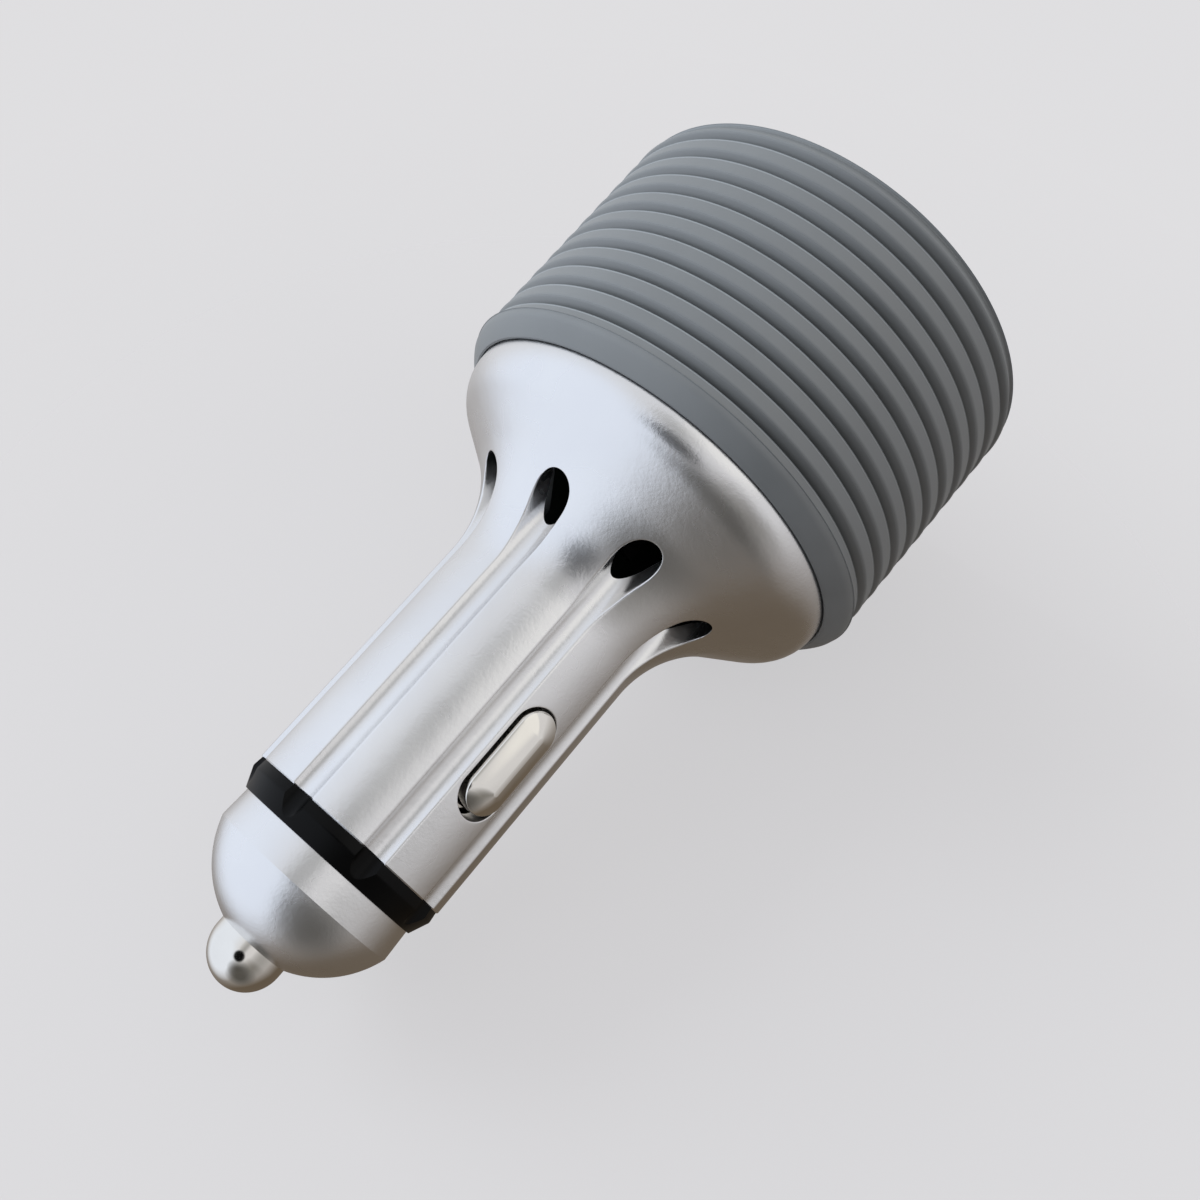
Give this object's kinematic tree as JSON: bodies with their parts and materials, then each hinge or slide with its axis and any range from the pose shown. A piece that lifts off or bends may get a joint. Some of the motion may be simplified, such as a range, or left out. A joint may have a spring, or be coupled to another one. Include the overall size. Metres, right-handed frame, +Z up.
{
  "type": "step-up car adapter",
  "caption": "Car socket adapter with a fluted metal neck, vents through its shoulder, sprung contacts and a wide head in a ribbed grey sleeve.",
  "frame": {"origin": "centre of the head end, on the plane of the sleeve rim that the part stands on", "axes": "+Z up the neck to the nose, -Y through the near side contact, X across the main board"},
  "size_m": [0.0462, 0.0462, 0.0858],
  "materials": {
    "die_cast_metal": "satin bead-blasted, silver",
    "grey_silicone": "matt mid grey silicone",
    "black_plastic": "semi-gloss black",
    "nickel": "polished nickel plate",
    "spring_steel": "drawn wire",
    "brass": "pressed brass",
    "carrier_plastic": "moulded black",
    "copper": "tinned copper wire",
    "clear_lens": "milky clear",
    "board_green": "solder mask",
    "ferrite": "dark ferrite",
    "package_black": "moulded package",
    "plain_aluminium": "extruded aluminium",
    "capacitor_can": "drawn can",
    "ceramic": "glazed ceramic",
    "socket_steel": "drawn stainless steel",
    "tongue_plastic": "moulded black"
  },
  "bodies": {
    "housing": {"body_shell": "die_cast_metal", "grip_sleeve": "grey_silicone", "insulating_ring": "black_plastic", "nose_cap": "die_cast_metal", "contact_spring": "spring_steel", "spring_cup": "brass", "contact_carrier": "carrier_plastic", "positive_lead": "copper", "end_plate": "black_plastic", "light_lens": "clear_lens", "port_board": "board_green", "main_board": "board_green", "power_inductor": "ferrite", "power_transistors": "package_black", "heat_spreader": "plain_aluminium", "input_capacitor": "capacitor_can", "output_capacitors": "capacitor_can", "controller_chip": "package_black", "input_fuse": "ceramic", "neck_choke": "ferrite", "socket_shell_left": "socket_steel", "socket_shell_right": "socket_steel", "socket_tongue_left": "tongue_plastic", "socket_tongue_right": "tongue_plastic"},
    "centre_pin": {"centre_contact": "nickel"},
    "near_contact": {"side_contact_near": "nickel", "side_spring_near": "spring_steel"},
    "far_contact": {"side_contact_far": "nickel", "side_spring_far": "spring_steel"}
  },
  "joints": [
    {"name": "centre_contact_push", "type": "slide", "parent": "housing", "child": "centre_pin", "axis": [0, 0, -1], "range_m": [0, 0.0025], "stiffness_N_per_m": 800, "springref_m": -0.0005, "deforming": ["contact_spring"]},
    {"name": "near_contact_push", "type": "slide", "parent": "housing", "child": "near_contact", "axis": [0, 1, 0], "range_m": [0, 0.0013], "stiffness_N_per_m": 1500, "springref_m": -0.0005},
    {"name": "far_contact_push", "type": "slide", "parent": "housing", "child": "far_contact", "axis": [0, -1, 0], "range_m": [0, 0.0013], "stiffness_N_per_m": 1500, "springref_m": -0.0005}
  ]
}
